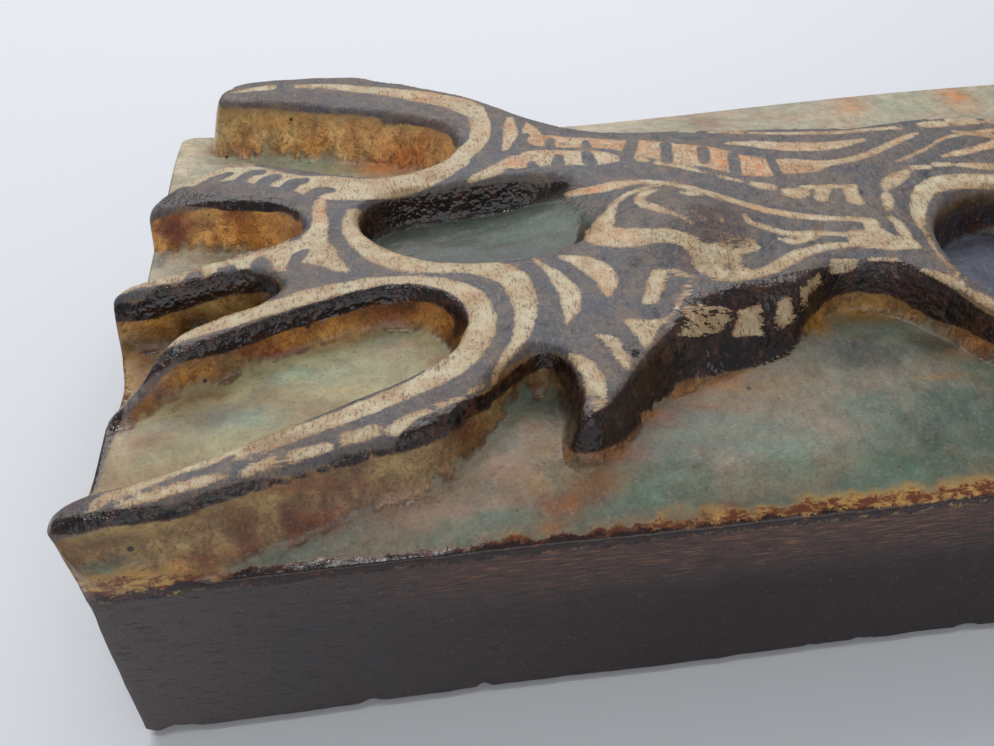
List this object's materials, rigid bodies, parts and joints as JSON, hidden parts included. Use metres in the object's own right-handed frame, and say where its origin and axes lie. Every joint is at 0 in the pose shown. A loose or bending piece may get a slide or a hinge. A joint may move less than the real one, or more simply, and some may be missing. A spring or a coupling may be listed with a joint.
{
  "type": "ceramic wall plaque",
  "caption": "Thick oblong stoneware wall plaque, its glazed face carved into branching striped fingers around a round well, with dark unglazed sides and a flat back.",
  "frame": {"origin": "centre of the slab's flat back, which goes against the wall", "axes": "+X along the plaque's length, +Y across it, +Z out of the wall through the carved face"},
  "size_m": [0.2538, 0.1015, 0.0416],
  "materials": {
    "glazed_stoneware": "celadon and ochre glaze with cream and slate painted stripes over dark unglazed clay"
  },
  "bodies": {
    "root": {"plaque": "glazed_stoneware"}
  },
  "joints": []
}
